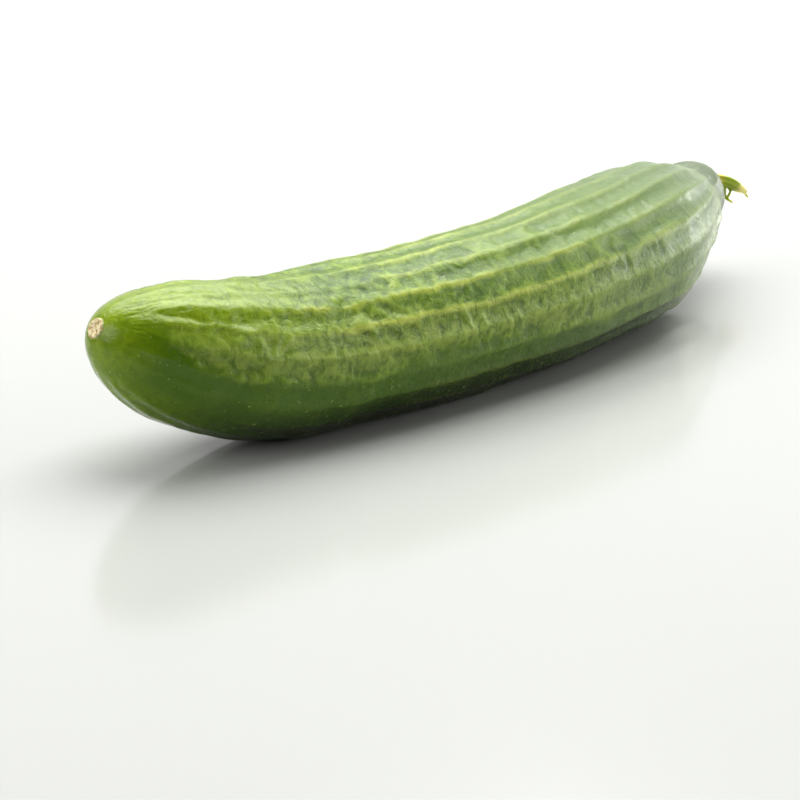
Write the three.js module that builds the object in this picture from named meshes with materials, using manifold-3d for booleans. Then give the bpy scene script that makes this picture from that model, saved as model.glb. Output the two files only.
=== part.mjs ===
// A fresh cucumber as picked, lying on its side: the ribbed fruit, with the corky scar of its blossom
// at one end, and the torn stub of its stalk in a pit at the other.
// Millimetres, +Z up. The blossom end is at -X and the stalk at +X, and the hollow side of the bend
// faces +Y. The origin is under the middle of the whole thing, on the surface that it lies on.

import * as THREE from 'three';
import { mergeVertices } from 'three/addons/utils/BufferGeometryUtils.js';
import Module from 'manifold-3d';

// Centre line of the fruit, measured from the blossom end as seen from above
const FRUIT_LENGTH = 286;
const BLOSSOM_HEADING = -18.6;      // degrees from +X
const BEND = 42;                    // degrees of turn from end to end
const BEND_GROWTH = 1.38;           // above 1 the bend tightens towards the stalk
const BLOSSOM_CURL = 8;             // degrees that the very tip turns in
const BLOSSOM_CURL_LENGTH = 40;
const BLOSSOM_LIFT = 19.5;
const BLOSSOM_LIFT_LENGTH = 72;
const STALK_LIFT = 5;
const STALK_LIFT_LENGTH = 66;

// Thickness of the fruit
const BODY_RADIUS = 23;
const BELLY_SWELL = 1.9;
const BELLY_PLACE = 212;
const BELLY_SPREAD = 94;
const NOSE_LENGTH = 60;
const NOSE_FULLNESS = 2.46;
const SHOULDER_LENGTH = 66;
const SHOULDER_FULLNESS = 1.64;
const NECK_RADIUS = 12;
const NECK_LENGTH = 12;
const NECK_DOME = 13.8;
const NECK_BLEND = 6;               // the higher, the sharper the crease between shoulder and neck

// Relief of the skin
const RIB_COUNT = 20;
const RIB_HEIGHT = 0.9;
const RIB_SHARPNESS = 1.5;
const RIB_START = 11;               // degrees from the outer side of the bend
const RIB_WANDER = 5;               // degrees to each side on the way along the fruit
const LOBE_HEIGHT = 0.35;           // three seed chambers make the section a little three-sided
const LUMP_HEIGHT = 0.3;
const REST_DEPTH = 0.9;             // how far the underside is flattened where the fruit lies

// Scar of the blossom, a shallow corky dish with a raised rim
const SCAR_RADIUS = 3.1;
const SCAR_RIM = 0.45;
const SCAR_DEPTH = 0.3;

// Pit at the stalk end, and the torn stub that stands in it
const PIT_RADIUS = 2.4;
const PIT_DEPTH = 4.5;
const CLEARANCE = 0.35;
const STUB_RADIUS = 1.7;
const STUB_TIP_RADIUS = 0.3;
const STRAND_RADIUS = 0.55;
const STRAND_TIP_RADIUS = 0.3;

// Fineness of the meshes
const COLUMNS = 5 * RIB_COUNT;
const RINGS = 42;
const END_CROWDING = 0.12;          // draws the rings towards the two ends
const CENTRE_LINE_STEPS = 572;
const STUB_SIDES = 15;
const STUB_RINGS = 22;
const STRAND_SIDES = 6;
const STRAND_RINGS = 9;

const UP = new THREE.Vector3(0, 0, 1);
const radians = THREE.MathUtils.degToRad;
const clamp = THREE.MathUtils.clamp;

function bodyRadius(s) {
  return BODY_RADIUS + BELLY_SWELL * Math.exp(-(((s - BELLY_PLACE) / BELLY_SPREAD) ** 2));
}

// The mean radius of the skin: a blunt nose, a long belly, a sloping shoulder and a domed neck
function skinRadius(s) {
  const toEnd = FRUIT_LENGTH - s;
  const nose = Math.sqrt(1 - clamp(1 - s / NOSE_LENGTH, 0, 1) ** NOSE_FULLNESS);
  const slope = clamp((toEnd - NECK_LENGTH) / SHOULDER_LENGTH, 0, 1);
  const shoulder = bodyRadius(s) * Math.sqrt(1 - (1 - slope) ** SHOULDER_FULLNESS);
  const neck = NECK_RADIUS * Math.sqrt(1 - clamp(1 - toEnd / NECK_DOME, 0, 1) ** 2);
  return nose * (shoulder ** NECK_BLEND + neck ** NECK_BLEND) ** (1 / NECK_BLEND);
}

function heading(s) {
  const curl = BLOSSOM_CURL * clamp(1 - s / BLOSSOM_CURL_LENGTH, 0, 1) ** 2;
  return radians(BLOSSOM_HEADING + curl + BEND * (s / FRUIT_LENGTH) ** BEND_GROWTH);
}

function centreHeight(s) {
  const blossom = clamp(1 - s / BLOSSOM_LIFT_LENGTH, 0, 1) ** 2;
  const stalk = clamp(1 - (FRUIT_LENGTH - s) / STALK_LIFT_LENGTH, 0, 1) ** 2;
  return bodyRadius(s) - REST_DEPTH + BLOSSOM_LIFT * blossom + STALK_LIFT * stalk;
}

// The centre line is walked once in small steps, and read between them
const centreLine = [new THREE.Vector3(0, 0, centreHeight(0))];
const centreStep = FRUIT_LENGTH / CENTRE_LINE_STEPS;
for (let i = 1; i <= CENTRE_LINE_STEPS; i += 1) {
  const last = centreLine[i - 1];
  const turn = heading((i - 0.5) * centreStep);
  const x = last.x + centreStep * Math.cos(turn);
  const y = last.y + centreStep * Math.sin(turn);
  centreLine.push(new THREE.Vector3(x, y, centreHeight(i * centreStep)));
}

function centrePoint(s) {
  const place = clamp(s / centreStep, 0, CENTRE_LINE_STEPS - 1e-6);
  const i = Math.floor(place);
  return centreLine[i].clone().lerp(centreLine[i + 1], place - i);
}

// The frame of a cross-section: along the fruit, out to the outer side of the bend, and upwards
function sectionFrame(s) {
  const near = clamp(s, 1, FRUIT_LENGTH - 1);
  const along = centrePoint(near + 1).sub(centrePoint(near - 1)).normalize();
  const out = new THREE.Vector3().crossVectors(along, UP).normalize();
  const up = new THREE.Vector3().crossVectors(out, along);
  return { along, out, up };
}

// How far the skin stands from its mean radius, with the angle counted from the outer side of the
// bend over the top: ribs, three soft lobes, slow lumps, one bulge and one dent of the upper side, and
// a shoulder that is flatter on its outer side
function skinRelief(s, angle) {
  const t = s / FRUIT_LENGTH;
  const wander = radians(RIB_WANDER) * Math.cos(2 * Math.PI * t) + radians(RIB_START);
  const crest = (0.5 + 0.5 * Math.cos(RIB_COUNT * (angle - wander))) ** RIB_SHARPNESS;
  const uneven = 0.78 + 0.22 * Math.sin(3 * angle + 1 + s / 60);
  const grown = 0.55 + 0.45 * THREE.MathUtils.smoothstep(s, 60, 190);
  const ribs = RIB_HEIGHT * uneven * grown * (crest - 0.4);
  const lobes = LOBE_HEIGHT * Math.cos(3 * angle - radians(60));
  const wave = Math.sin(2 * angle + 1 + s / 31) + 0.8 * Math.sin(3 * angle - s / 17);
  const lumps = LUMP_HEIGHT * (wave + 0.7 * Math.sin(s / 8.5 + 2 * Math.cos(angle)));
  const upper = Math.max(0, Math.cos(angle - radians(105))) ** 2;
  const bulge = 1.2 * upper * Math.exp(-(((s - 242) / 17) ** 2));
  const dent = 0.8 * upper * Math.exp(-(((s - 150) / 45) ** 2));
  const outer = Math.max(0, Math.cos(angle + radians(15))) ** 2;
  const slant = 1.9 * outer * Math.exp(-(((s - 246) / 22) ** 2));
  return ribs + lobes + lumps + bulge - dent - slant;
}

// The relief dies away at the scar and on the neck
function reliefFade(s) {
  const nose = THREE.MathUtils.smoothstep(s, 0, 16);
  const neck = THREE.MathUtils.smoothstep(FRUIT_LENGTH - s, 8, 42);
  return nose * neck;
}

// A closed solid through a row of rings, with a point at each end
function ringedSolid(start, rings, end) {
  const positions = [...start.toArray()];
  for (const ring of rings) {
    for (const point of ring) {
      positions.push(...point.toArray());
    }
  }
  positions.push(...end.toArray());
  const sides = rings[0].length;
  const last = 1 + rings.length * sides;
  const faces = [];
  for (let j = 0; j < sides; j += 1) {
    const next = (j + 1) % sides;
    faces.push(0, 1 + j, 1 + next);
    for (let i = 0; i + 1 < rings.length; i += 1) {
      const row = 1 + i * sides;
      const rowAfter = row + sides;
      faces.push(row + j, rowAfter + next, row + next);
      faces.push(row + j, rowAfter + j, rowAfter + next);
    }
    faces.push(last, last - sides + next, last - sides + j);
  }
  const geometry = new THREE.BufferGeometry();
  geometry.setAttribute('position', new THREE.Float32BufferAttribute(positions, 3));
  geometry.setIndex(faces);
  geometry.computeVertexNormals();
  return geometry;
}

function roundRing(centre, across, upwards, sides, radiusAt) {
  const ring = [];
  for (let j = 0; j < sides; j += 1) {
    const angle = (2 * Math.PI * j) / sides;
    const radius = radiusAt(angle);
    const point = centre.clone().addScaledVector(across, radius * Math.cos(angle));
    ring.push(point.addScaledVector(upwards, radius * Math.sin(angle)));
  }
  return ring;
}

function layFlat(point) {
  point.z = Math.max(point.z, 0);
  return point;
}

function skinRing(s) {
  const { out, up } = sectionFrame(s);
  const fade = reliefFade(s);
  const radiusAt = (angle) => skinRadius(s) + fade * skinRelief(s, angle);
  return roundRing(centrePoint(s), out, up, COLUMNS, radiusAt).map(layFlat);
}

// A plain ring at either end, moved along the fruit by shift
function endRing(s, shift, radius) {
  const { along, out, up } = sectionFrame(s);
  const centre = centrePoint(s).addScaledVector(along, shift);
  return roundRing(centre, out, up, COLUMNS, () => radius);
}

// Where the nose and the neck have a given radius
function noseDepth(radius) {
  const share = 1 - (radius / bodyRadius(0)) ** 2;
  return NOSE_LENGTH * (1 - share ** (1 / NOSE_FULLNESS));
}

function neckDepth(radius) {
  return NECK_DOME * (1 - Math.sqrt(1 - (radius / NECK_RADIUS) ** 2));
}

function fruitGeometry() {
  const rings = [];
  const scar = [
    { radius: 0.42 * SCAR_RADIUS, sink: 0.7 * SCAR_DEPTH },
    { radius: 0.84 * SCAR_RADIUS, sink: -SCAR_RIM },
    { radius: SCAR_RADIUS, sink: 0.1 },
    { radius: 1.28 * SCAR_RADIUS, sink: 0 },
  ];
  for (const { radius, sink } of scar) {
    rings.push(endRing(0, noseDepth(radius) + sink, radius));
  }
  for (let i = 1; i < RINGS; i += 1) {
    const t = i / RINGS;
    rings.push(skinRing(FRUIT_LENGTH * (t - END_CROWDING * Math.sin(2 * Math.PI * t))));
  }
  const lip = PIT_RADIUS + 0.6;
  rings.push(endRing(FRUIT_LENGTH, -neckDepth(lip), lip));
  rings.push(endRing(FRUIT_LENGTH, -neckDepth(lip) - 0.2, PIT_RADIUS));
  rings.push(endRing(FRUIT_LENGTH, -PIT_DEPTH, PIT_RADIUS - 0.1));
  const start = centrePoint(0).addScaledVector(sectionFrame(0).along, SCAR_DEPTH);
  const end = centrePoint(FRUIT_LENGTH).addScaledVector(sectionFrame(FRUIT_LENGTH).along, -PIT_DEPTH);
  return ringedSolid(start, rings, end);
}

// A tapered tube along points given as [along the fruit, outwards, upwards] from its stalk end
function stalkTube(route, sides, ringCount, radiusAt) {
  const { along, out, up } = sectionFrame(FRUIT_LENGTH);
  const points = route.map(([a, o, u]) => {
    const point = centrePoint(FRUIT_LENGTH).addScaledVector(along, a);
    return point.addScaledVector(out, o).addScaledVector(up, u);
  });
  const curve = new THREE.CatmullRomCurve3(points);
  const rings = [];
  for (let i = 0; i <= ringCount; i += 1) {
    const t = i / ringCount;
    const direction = curve.getTangentAt(t);
    const across = new THREE.Vector3().crossVectors(direction, up).normalize();
    const upwards = new THREE.Vector3().crossVectors(across, direction);
    rings.push(roundRing(curve.getPointAt(t), across, upwards, sides, (angle) => radiusAt(t, angle)));
  }
  return ringedSolid(curve.getPointAt(0), rings, curve.getPointAt(1));
}

const wasm = await Module();
wasm.setup();

function toManifold(geometry) {
  const plain = geometry.clone();
  plain.deleteAttribute('normal');
  const merged = mergeVertices(plain);
  return new wasm.Manifold(new wasm.Mesh({
    numProp: 3,
    vertProperties: new Float32Array(merged.attributes.position.array),
    triVerts: new Uint32Array(merged.index.array),
  }));
}

function fromManifold(solid) {
  const mesh = solid.getMesh();
  const geometry = new THREE.BufferGeometry();
  geometry.setAttribute('position', new THREE.BufferAttribute(mesh.vertProperties, 3));
  geometry.setIndex(new THREE.BufferAttribute(mesh.triVerts, 1));
  geometry.computeVertexNormals();
  return geometry;
}

// The five-sided stub bends sharply out of the pit and ends in a torn point. A thin strip of its
// own skin has peeled off and hangs from it.
function stubGeometry() {
  const rootRadius = PIT_RADIUS - 0.1 - CLEARANCE - 0.1;
  const stub = stalkTube(
    [
      [CLEARANCE - PIT_DEPTH, 0, 0],
      [-1, 0, 0],
      [1.8, 0.4, 0],
      [4.2, 3.4, 0.1],
      [5.9, 9, -1.2],
      [7.4, 15.3, -4.9],
    ],
    STUB_SIDES,
    STUB_RINGS,
    (t, angle) => {
      const flesh = THREE.MathUtils.lerp(rootRadius, STUB_RADIUS, THREE.MathUtils.smoothstep(t, 0.2, 0.45));
      const point = THREE.MathUtils.lerp(1, STUB_TIP_RADIUS / STUB_RADIUS, clamp((t - 0.66) / 0.34, 0, 1) ** 1.3);
      return flesh * point * (1 + 0.1 * Math.cos(5 * angle));
    },
  );
  const strand = stalkTube(
    [
      [5.2, 6.2, -0.6],
      [4.8, 7, -3],
      [4.4, 7.5, -5.4],
      [4.6, 9.6, -6.8],
    ],
    STRAND_SIDES,
    STRAND_RINGS,
    (t) => THREE.MathUtils.lerp(STRAND_RADIUS, STRAND_TIP_RADIUS, t),
  );
  return fromManifold(toManifold(stub).add(toManifold(strand)));
}

const skin = new THREE.MeshStandardMaterial({ color: 0x4f7a33, roughness: 0.38, metalness: 0 });
const stalk = new THREE.MeshStandardMaterial({ color: 0x8f9c2c, roughness: 0.6, metalness: 0 });

const fruit = new THREE.Mesh(fruitGeometry(), skin);
fruit.name = 'fruit';

const stemStub = new THREE.Mesh(stubGeometry(), stalk);
stemStub.name = 'stem_stub';

const cucumber = new THREE.Group();
cucumber.add(fruit, stemStub);

// Bring the middle of the whole thing over the origin
const middle = new THREE.Box3().setFromObject(cucumber).getCenter(new THREE.Vector3());
cucumber.position.set(-middle.x, -middle.y, 0);

export default cucumber;
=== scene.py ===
# %% [markdown]
# # Dressing a cucumber
# This lesson starts from a plain solid of a cucumber and ends with a studio picture of it. The solid
# already has the right size, bend and ribs. What is missing is what makes a cucumber look fresh: fine
# folds in the skin, pale rib lines, a corky blossom scar, a waxy shine and a torn stalk. The first step
# loads the solid and measures it, because all that is made later has to fit it.

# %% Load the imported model
import math

import bmesh
import bpy
import numpy as np
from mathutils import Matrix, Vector


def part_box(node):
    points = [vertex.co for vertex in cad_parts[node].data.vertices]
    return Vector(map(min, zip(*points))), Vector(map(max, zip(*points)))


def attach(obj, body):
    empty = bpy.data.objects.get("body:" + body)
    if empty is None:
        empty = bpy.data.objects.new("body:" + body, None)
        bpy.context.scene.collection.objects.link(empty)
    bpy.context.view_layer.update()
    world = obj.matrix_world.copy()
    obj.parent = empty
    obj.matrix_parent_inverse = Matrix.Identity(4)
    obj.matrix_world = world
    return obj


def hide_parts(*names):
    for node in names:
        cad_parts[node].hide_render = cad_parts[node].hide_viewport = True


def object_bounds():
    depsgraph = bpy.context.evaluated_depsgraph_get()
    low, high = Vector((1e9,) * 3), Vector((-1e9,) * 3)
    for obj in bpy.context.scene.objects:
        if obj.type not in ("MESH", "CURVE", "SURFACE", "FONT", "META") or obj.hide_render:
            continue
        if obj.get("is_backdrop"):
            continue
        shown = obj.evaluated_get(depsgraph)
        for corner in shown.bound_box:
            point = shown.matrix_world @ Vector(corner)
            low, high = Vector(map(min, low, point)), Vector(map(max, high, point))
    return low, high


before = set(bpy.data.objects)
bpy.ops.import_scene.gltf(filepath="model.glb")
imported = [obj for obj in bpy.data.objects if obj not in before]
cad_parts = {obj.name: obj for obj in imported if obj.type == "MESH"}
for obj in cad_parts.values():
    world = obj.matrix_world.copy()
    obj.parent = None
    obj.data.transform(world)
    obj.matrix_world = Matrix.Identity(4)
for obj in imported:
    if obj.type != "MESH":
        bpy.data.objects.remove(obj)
cad_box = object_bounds()
print("solid model, millimetres:", [round(1000 * (b - a), 1) for a, b in zip(*cad_box)])

# %% [markdown]
# ## The centre line
# A cucumber hangs while it grows, and bends as it does. The fruit lies on its side, so its bend is
# nearly level, and only the blossom end curls up off the table. One could draw a curve by hand, but a
# heading that turns steadily, walked in small steps, gives the same line as the solid model, so the
# detailed skin falls exactly where the solid is. Lengths are in millimetres and angles in degrees until
# the mesh is made. A place along the fruit, s, counts from the blossom end.

# %% Centre line
FRUIT_LENGTH = 286.0
BLOSSOM_HEADING = -18.6
BEND = 42.0
BEND_GROWTH = 1.38
BLOSSOM_CURL = 8.0
BLOSSOM_CURL_LENGTH = 40.0
BLOSSOM_LIFT = 19.5
BLOSSOM_LIFT_LENGTH = 72.0
STALK_LIFT = 5.0
STALK_LIFT_LENGTH = 66.0
REST_DEPTH = 0.9
BODY_RADIUS = 23.0
BELLY_SWELL = (1.9, 212.0, 94.0)
WALK_STEP = 0.5


def hump(s, height, place, spread):
    """A soft rise of this height at a place along the fruit, fading out over the spread."""
    return height * np.exp(-(((s - place) / spread) ** 2))


def body_radius(s):
    return BODY_RADIUS + hump(s, *BELLY_SWELL)


def heading(s):
    curl = BLOSSOM_CURL * np.clip(1 - s / BLOSSOM_CURL_LENGTH, 0, 1) ** 2
    return np.radians(BLOSSOM_HEADING + curl + BEND * (s / FRUIT_LENGTH) ** BEND_GROWTH)


def centre_height(s):
    blossom = np.clip(1 - s / BLOSSOM_LIFT_LENGTH, 0, 1) ** 2
    stalk = np.clip(1 - (FRUIT_LENGTH - s) / STALK_LIFT_LENGTH, 0, 1) ** 2
    return body_radius(s) - REST_DEPTH + BLOSSOM_LIFT * blossom + STALK_LIFT * stalk


walk = np.arange(0, FRUIT_LENGTH + WALK_STEP / 2, WALK_STEP)
turns = heading(walk[:-1] + WALK_STEP / 2)
line_x = np.concatenate([[0], np.cumsum(WALK_STEP * np.cos(turns))])
line_y = np.concatenate([[0], np.cumsum(WALK_STEP * np.sin(turns))])
centre_line = np.stack([line_x, line_y, centre_height(walk)], -1)
print("centre line ends at", centre_line[-1].round(1))

# %% [markdown]
# ## Directions at each place
# The skin is set out from the centre line, so each place on it needs its own three directions: along
# the fruit, out to the outer side of the bend, and up. The first is read off the line a millimetre to
# each side. The other two follow by cross products, which keeps the section upright all the way.

# %% Directions along the fruit
def centre_point(s):
    return np.stack([np.interp(s, walk, centre_line[:, k]) for k in range(3)], -1)


def section_frame(s):
    """The directions along the fruit, out to the outer side of its bend, and up."""
    near = np.clip(s, 1, FRUIT_LENGTH - 1)
    along = centre_point(near + 1) - centre_point(near - 1)
    along /= np.linalg.norm(along, axis=-1, keepdims=True)
    out = np.cross(along, [0, 0, 1.0])
    out /= np.linalg.norm(out, axis=-1, keepdims=True)
    return along, out, np.cross(out, along)


print("the nose points", section_frame(0.0)[0].round(2))

# %% [markdown]
# ## The thickness
# The nose is blunt, the belly swells a little past the middle, the shoulder slopes, and a small domed
# neck carries the stalk. A profile drawn with a curve tool would do. Here it is written as a product of
# simple terms, because then each of them has a size that can be read and changed.

# %% Mean radius of the skin
NOSE_LENGTH = 60.0
NOSE_FULLNESS = 2.46
SHOULDER_LENGTH = 66.0
SHOULDER_FULLNESS = 1.64
NECK_RADIUS = 12.0
NECK_LENGTH = 12.0
NECK_DOME = 13.8
NECK_BLEND = 6.0


def skin_radius(s):
    to_end = FRUIT_LENGTH - s
    nose = np.sqrt(1 - np.clip(1 - s / NOSE_LENGTH, 0, 1) ** NOSE_FULLNESS)
    slope = np.clip((to_end - NECK_LENGTH) / SHOULDER_LENGTH, 0, 1)
    shoulder = body_radius(s) * np.sqrt(1 - (1 - slope) ** SHOULDER_FULLNESS)
    neck = NECK_RADIUS * np.sqrt(1 - np.clip(1 - to_end / NECK_DOME, 0, 1) ** 2)
    return nose * (shoulder**NECK_BLEND + neck**NECK_BLEND) ** (1 / NECK_BLEND)


def nose_depth(radius):
    """How far in from the tip the nose is this wide."""
    return NOSE_LENGTH * (1 - (1 - (radius / body_radius(0.0)) ** 2) ** (1 / NOSE_FULLNESS))


def neck_depth(radius):
    """How far in from the stalk end the neck is this wide."""
    return NECK_DOME * (1 - math.sqrt(1 - (radius / NECK_RADIUS) ** 2))


print("thickest:", round(2 * float(skin_radius(walk).max()), 1), "mm")

# %% [markdown]
# ## Ribs
# Shallow ribs run from the scar to the neck, over the bundles that feed the fruit. They wander a few
# degrees, and some stand higher than others. One could pull them up by hand as edge loops, but a cosine
# raised to a power is a rib with a narrow crest and a wide valley, and it is the formula of the solid.

# %% Ribs
RIB_COUNT = 20
RIB_HEIGHT = 0.9
RIB_SHARPNESS = 1.5
RIB_START = 11.0
RIB_WANDER = 5.0


def smooth(x, low, high):
    """0 below low, 1 above high, with soft ends."""
    t = np.clip((x - low) / (high - low), 0, 1)
    return t * t * (3 - 2 * t)


def rib_angle(s, angle):
    """Angle round the fruit, counted from the first rib as it wanders."""
    wander = np.radians(RIB_WANDER) * np.cos(2 * np.pi * s / FRUIT_LENGTH)
    return angle - wander - np.radians(RIB_START)


def rib_crest(s, angle):
    return (0.5 + 0.5 * np.cos(RIB_COUNT * rib_angle(s, angle))) ** RIB_SHARPNESS


def rib_strength(s, angle):
    uneven = 0.78 + 0.22 * np.sin(3 * angle + 1 + s / 60)
    return uneven * (0.55 + 0.45 * smooth(s, 60, 190))


print(RIB_COUNT, "ribs,", round(2 * math.pi * BODY_RADIUS / RIB_COUNT, 1), "mm apart")

# %% [markdown]
# ## Lobes and lumps
# Three seed chambers push the section a little out of round, and slow lumps keep the outline alive. The
# top bulges before the neck and dips in the middle, and the outer side of the shoulder slants in. These
# are the same formulas as in the solid, so the two surfaces agree to a fraction of a millimetre.

# %% Main relief
LOBE_HEIGHT = 0.35
LUMP_HEIGHT = 0.3
TOP_SIDE = 105
OUTER_SIDE = -15
SHOULDER_BULGE = (1.2, 242, 17)
MIDDLE_DIP = (0.8, 150, 45)
SHOULDER_SLANT = (1.9, 246, 22)


def facing(angle, degrees):
    """1 on the side of the fruit that faces this way, falling to 0 at a quarter turn from it."""
    return np.clip(np.cos(angle - np.radians(degrees)), 0, 1)


def main_relief(s, angle):
    ribs = RIB_HEIGHT * rib_strength(s, angle) * (rib_crest(s, angle) - 0.4)
    lobes = LOBE_HEIGHT * np.cos(3 * angle - np.radians(60))
    wave = np.sin(2 * angle + 1 + s / 31) + 0.8 * np.sin(3 * angle - s / 17)
    lumps = LUMP_HEIGHT * (wave + 0.7 * np.sin(s / 8.5 + 2 * np.cos(angle)))
    top = facing(angle, TOP_SIDE) ** 2 * (hump(s, *SHOULDER_BULGE) - hump(s, *MIDDLE_DIP))
    slant = facing(angle, OUTER_SIDE) ** 2 * hump(s, *SHOULDER_SLANT)
    return ribs + lobes + lumps + top - slant


def relief_fade(s):
    """The relief runs out towards the scar and the pit."""
    return smooth(s, 0, 16) * smooth(FRUIT_LENGTH - s, 8, 42)


print("deepest slant of the shoulder:", SHOULDER_SLANT[0], "mm")

# %% [markdown]
# ## Chance that runs round the skin
# Folds and pocks need randomness that has no seam round the fruit, and that follows it round the bend.
# Blender's noise lives in straight space. A small grid of random numbers wrapped round the fruit does
# better: its cells can be short along the fruit and wide across it, as the folds of the skin are.

# %% Seamless noise on the unrolled skin
SPARE_ROWS = 12
ROWS_BEFORE = 4


def skin_noise(s, angle, cell_mm, cells_round, seed):
    """Smooth numbers from -1 to 1, on cells of cell_mm along the fruit and cells_round round it."""
    rows = int(FRUIT_LENGTH / cell_mm) + SPARE_ROWS
    lattice = np.random.default_rng(seed).uniform(-1, 1, (rows, cells_round))
    x = np.clip(s / cell_mm + ROWS_BEFORE, 0, rows - 1.001)
    y = (angle / (2 * np.pi)) % 1.0 * cells_round
    i = np.floor(x).astype(int)
    j = np.floor(y).astype(int)
    fx = (x - i) ** 2 * (3 - 2 * (x - i))
    fy = (y - j) ** 2 * (3 - 2 * (y - j))
    left = j % cells_round
    right = (j + 1) % cells_round
    first = lattice[i, left] * (1 - fy) + lattice[i, right] * fy
    second = lattice[i + 1, left] * (1 - fy) + lattice[i + 1, right] * fy
    return first * (1 - fx) + second * fx


sample = skin_noise(walk, 0.0 * walk, 5, 20, seed=1)
print("noise runs from", round(float(sample.min()), 2), "to", round(float(sample.max()), 2))

# %% [markdown]
# ## Folds between the ribs
# Between two ribs the skin lies in small folds across the fruit, a few millimetres apart, as cloth does
# between two seams. They are deepest on the outer flank, and wider apart towards the stalk. Each groove
# gets its own offset and slant, so the folds don't line up in rings. A bump map could fake them, but
# real height catches the light properly. Soft pocks break up the rest.

# %% Folds and pocks
FOLD_HEIGHT = 0.5
FOLD_PITCH = 2.9
FOLD_SIDE = 30
SMALL_FOLDS = 0.2
FOLD_DRIFT = 3.4
FOLD_SWING = 0.07
WIDENING_START = 140
WIDENING = 0.6
POCK_HEIGHT = 0.22
groove_shift = np.random.default_rng(4).uniform(0, 5 * FOLD_PITCH, RIB_COUNT)
groove_slant = np.random.default_rng(5).uniform(-3.0, 3.0, RIB_COUNT)


def fold_height(s, angle):
    """Gathers between two ribs, about -1 in a crease to 1 on a fold."""
    place = (rib_angle(s, angle) / (2 * np.pi)) % 1.0 * RIB_COUNT
    groove = np.floor(place).astype(int) % RIB_COUNT
    across = place - np.floor(place)
    drift = FOLD_DRIFT * skin_noise(s, angle, 6, 23, seed=11)
    swing = angle + FOLD_SWING * skin_noise(s, angle, 5, 17, seed=14)
    widened = np.minimum(s, WIDENING_START) + WIDENING * np.maximum(s - WIDENING_START, 0)
    run = widened + groove_shift[groove] + groove_slant[groove] * (across - 0.5) + drift
    run = np.minimum(run, FRUIT_LENGTH + 4 * FOLD_PITCH)
    folds = 2.0 * np.sqrt(skin_noise(run, swing, FOLD_PITCH, 31, seed=12) ** 2 + 0.03) - 0.8
    small = skin_noise(run, swing, 0.6 * FOLD_PITCH, 52, seed=13)
    depth = 0.55 + 0.45 * skin_noise(s, angle, 19, 11, seed=15)
    return (folds + SMALL_FOLDS * small) * depth * np.sin(np.pi * across) ** 0.6


def fold_relief(s, angle):
    flank = 0.2 - 0.1 * smooth(s, 120, 190) + 0.75 * facing(angle, FOLD_SIDE) ** 1.5
    reach = smooth(s, 5, 32) * (1 - 0.62 * smooth(s, 165, 230)) * smooth(FRUIT_LENGTH - s, 20, 60)
    return FOLD_HEIGHT * fold_height(s, angle) * flank * reach


def pock_relief(s, angle):
    wide = skin_noise(s, angle, 7, 17, seed=21)
    close = skin_noise(s, angle, 3.4, 33, seed=22)
    return POCK_HEIGHT * (wide + 0.35 * close) * smooth(s, 4, 30)


flank_folds = fold_relief(walk, 0.0 * walk + np.radians(FOLD_SIDE))
print("folds on the flank:", round(float(np.ptp(flank_folds)), 2), "mm from crease to crest")

# %% [markdown]
# ## Creases and ridge of the nose
# The skin is drawn together at the blossom end, so short creases run into the scar, most of them on top.
# The nose also has a ridge of its own, where its top turns into its front, and soft dents below it. A
# sculpting brush would make both. A noise that is read only where it passes through zero makes thin
# broken lines too, and it gives the same lines on each run.

# %% Creases and nose
CREASE_HEIGHT = 0.6
CREASE_SIDE = 62
NOSE_RIDGE_HEIGHT = 0.55
NOSE_RIDGE_SIDE = 51
NOSE_RIDGE = (1, 0, 0.11)
NOSE_GROOVE = (0.5, -0.24, 0.12)
NOSE_DENT_HEIGHT = 0.3


def signed_turn(angle):
    """The same angle, between minus half a turn and half a turn."""
    return (angle + np.pi) % (2 * np.pi) - np.pi


def thin_lines(noise, width):
    """1 where the noise passes through zero, falling to 0 at this distance from it."""
    return np.clip(width - np.abs(noise), 0, 1) / width


def crease_lines(s, angle):
    """1 in the middle of a short crease that runs towards the scar, 0 beside it."""
    swing = angle + 0.12 * skin_noise(s, angle, 6, 9, seed=31)
    wide = thin_lines(skin_noise(s, swing, 13, 46, seed=32), 0.2)
    close = thin_lines(skin_noise(s, swing, 7, 64, seed=33), 0.3)
    broken = smooth(skin_noise(s, angle, 9, 21, seed=36), -0.3, 0.2)
    upper = 0.25 + 0.75 * facing(angle, CREASE_SIDE) ** 2
    near_scar = smooth(s, 1.5, 6) * (1 - smooth(s, 16, 58))
    return (wide * broken + 0.5 * close * (1 - 0.5 * broken)) * upper * near_scar


def nose_relief(s, angle):
    wander = 0.1 * skin_noise(s, angle, 8, 13, seed=34)
    turn = signed_turn(angle - np.radians(NOSE_RIDGE_SIDE) + wander)
    ridge = hump(turn, *NOSE_RIDGE) - hump(turn, *NOSE_GROOVE)
    swing = angle + 0.2 * skin_noise(s, angle, 6, 11, seed=38)
    dents = skin_noise(s, angle, 9, 13, seed=35) + 0.55 * skin_noise(s, swing, 5, 22, seed=37)
    reach = smooth(s, 6, 22) * (1 - smooth(s, 70, 120))
    return (NOSE_RIDGE_HEIGHT * ridge + NOSE_DENT_HEIGHT * dents) * reach


print("creases up to", CREASE_HEIGHT, "mm deep, ridge", NOSE_RIDGE_HEIGHT, "mm high")

# %% [markdown]
# ## Wrinkles and rib lines
# Low on the outer side of the shoulder the skin has shrunk a little, in thin wrinkles along the fruit.
# On each rib runs a thin raised line, which wanders and fades in places, and a slight ring marks where
# the neck begins. Each is its own small function, and the last one adds up everything on the skin.

# %% Wrinkles, rib lines and the whole relief
WRINKLE_HEIGHT = 0.55
WRINKLE_SIDE = -24
RIB_LINE_HEIGHT = 0.14
NECK_RING = (0.5, 260, 3.5)


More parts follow.
